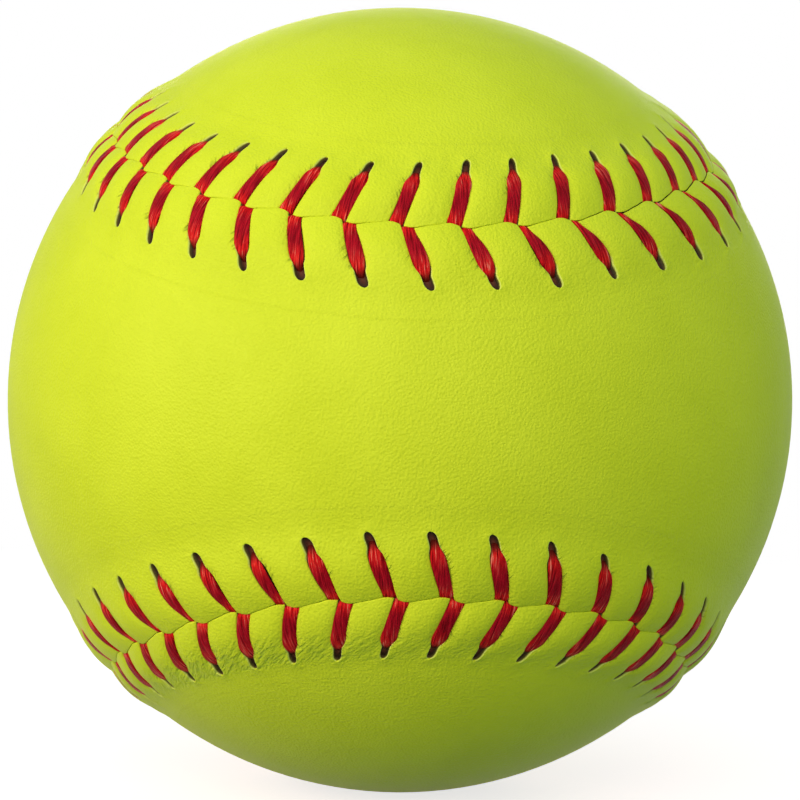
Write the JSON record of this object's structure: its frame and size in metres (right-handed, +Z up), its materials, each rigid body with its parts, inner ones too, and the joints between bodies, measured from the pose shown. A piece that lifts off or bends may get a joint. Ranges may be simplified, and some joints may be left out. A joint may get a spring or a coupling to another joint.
{
  "type": "softball",
  "caption": "Softball with a moulded core, a two-panel optic yellow leather cover and a raised seam sewn in red thread; thrown, hit and caught by hand or glove.",
  "frame": {"origin": "centre of the ball", "axes": "+Z up; -Y faces the viewer, through the waist of the front panel; the front panel's lobes lie to +X and -X and the back panel's lobes at +Z and -Z"},
  "size_m": [0.097, 0.097, 0.097],
  "materials": {
    "core": "moulded polyurethane, matt",
    "glue": "thin coat of latex glue",
    "cover": "optic yellow dyed leather, fine grain, soft sheen",
    "thread": "waxed red sewing thread, flattened where it is pulled tight"
  },
  "bodies": {
    "root": {"core": "core", "glue_coat": "glue", "front_panel": "cover", "back_panel": "cover", "first_thread": "thread", "second_thread": "thread"}
  },
  "joints": []
}
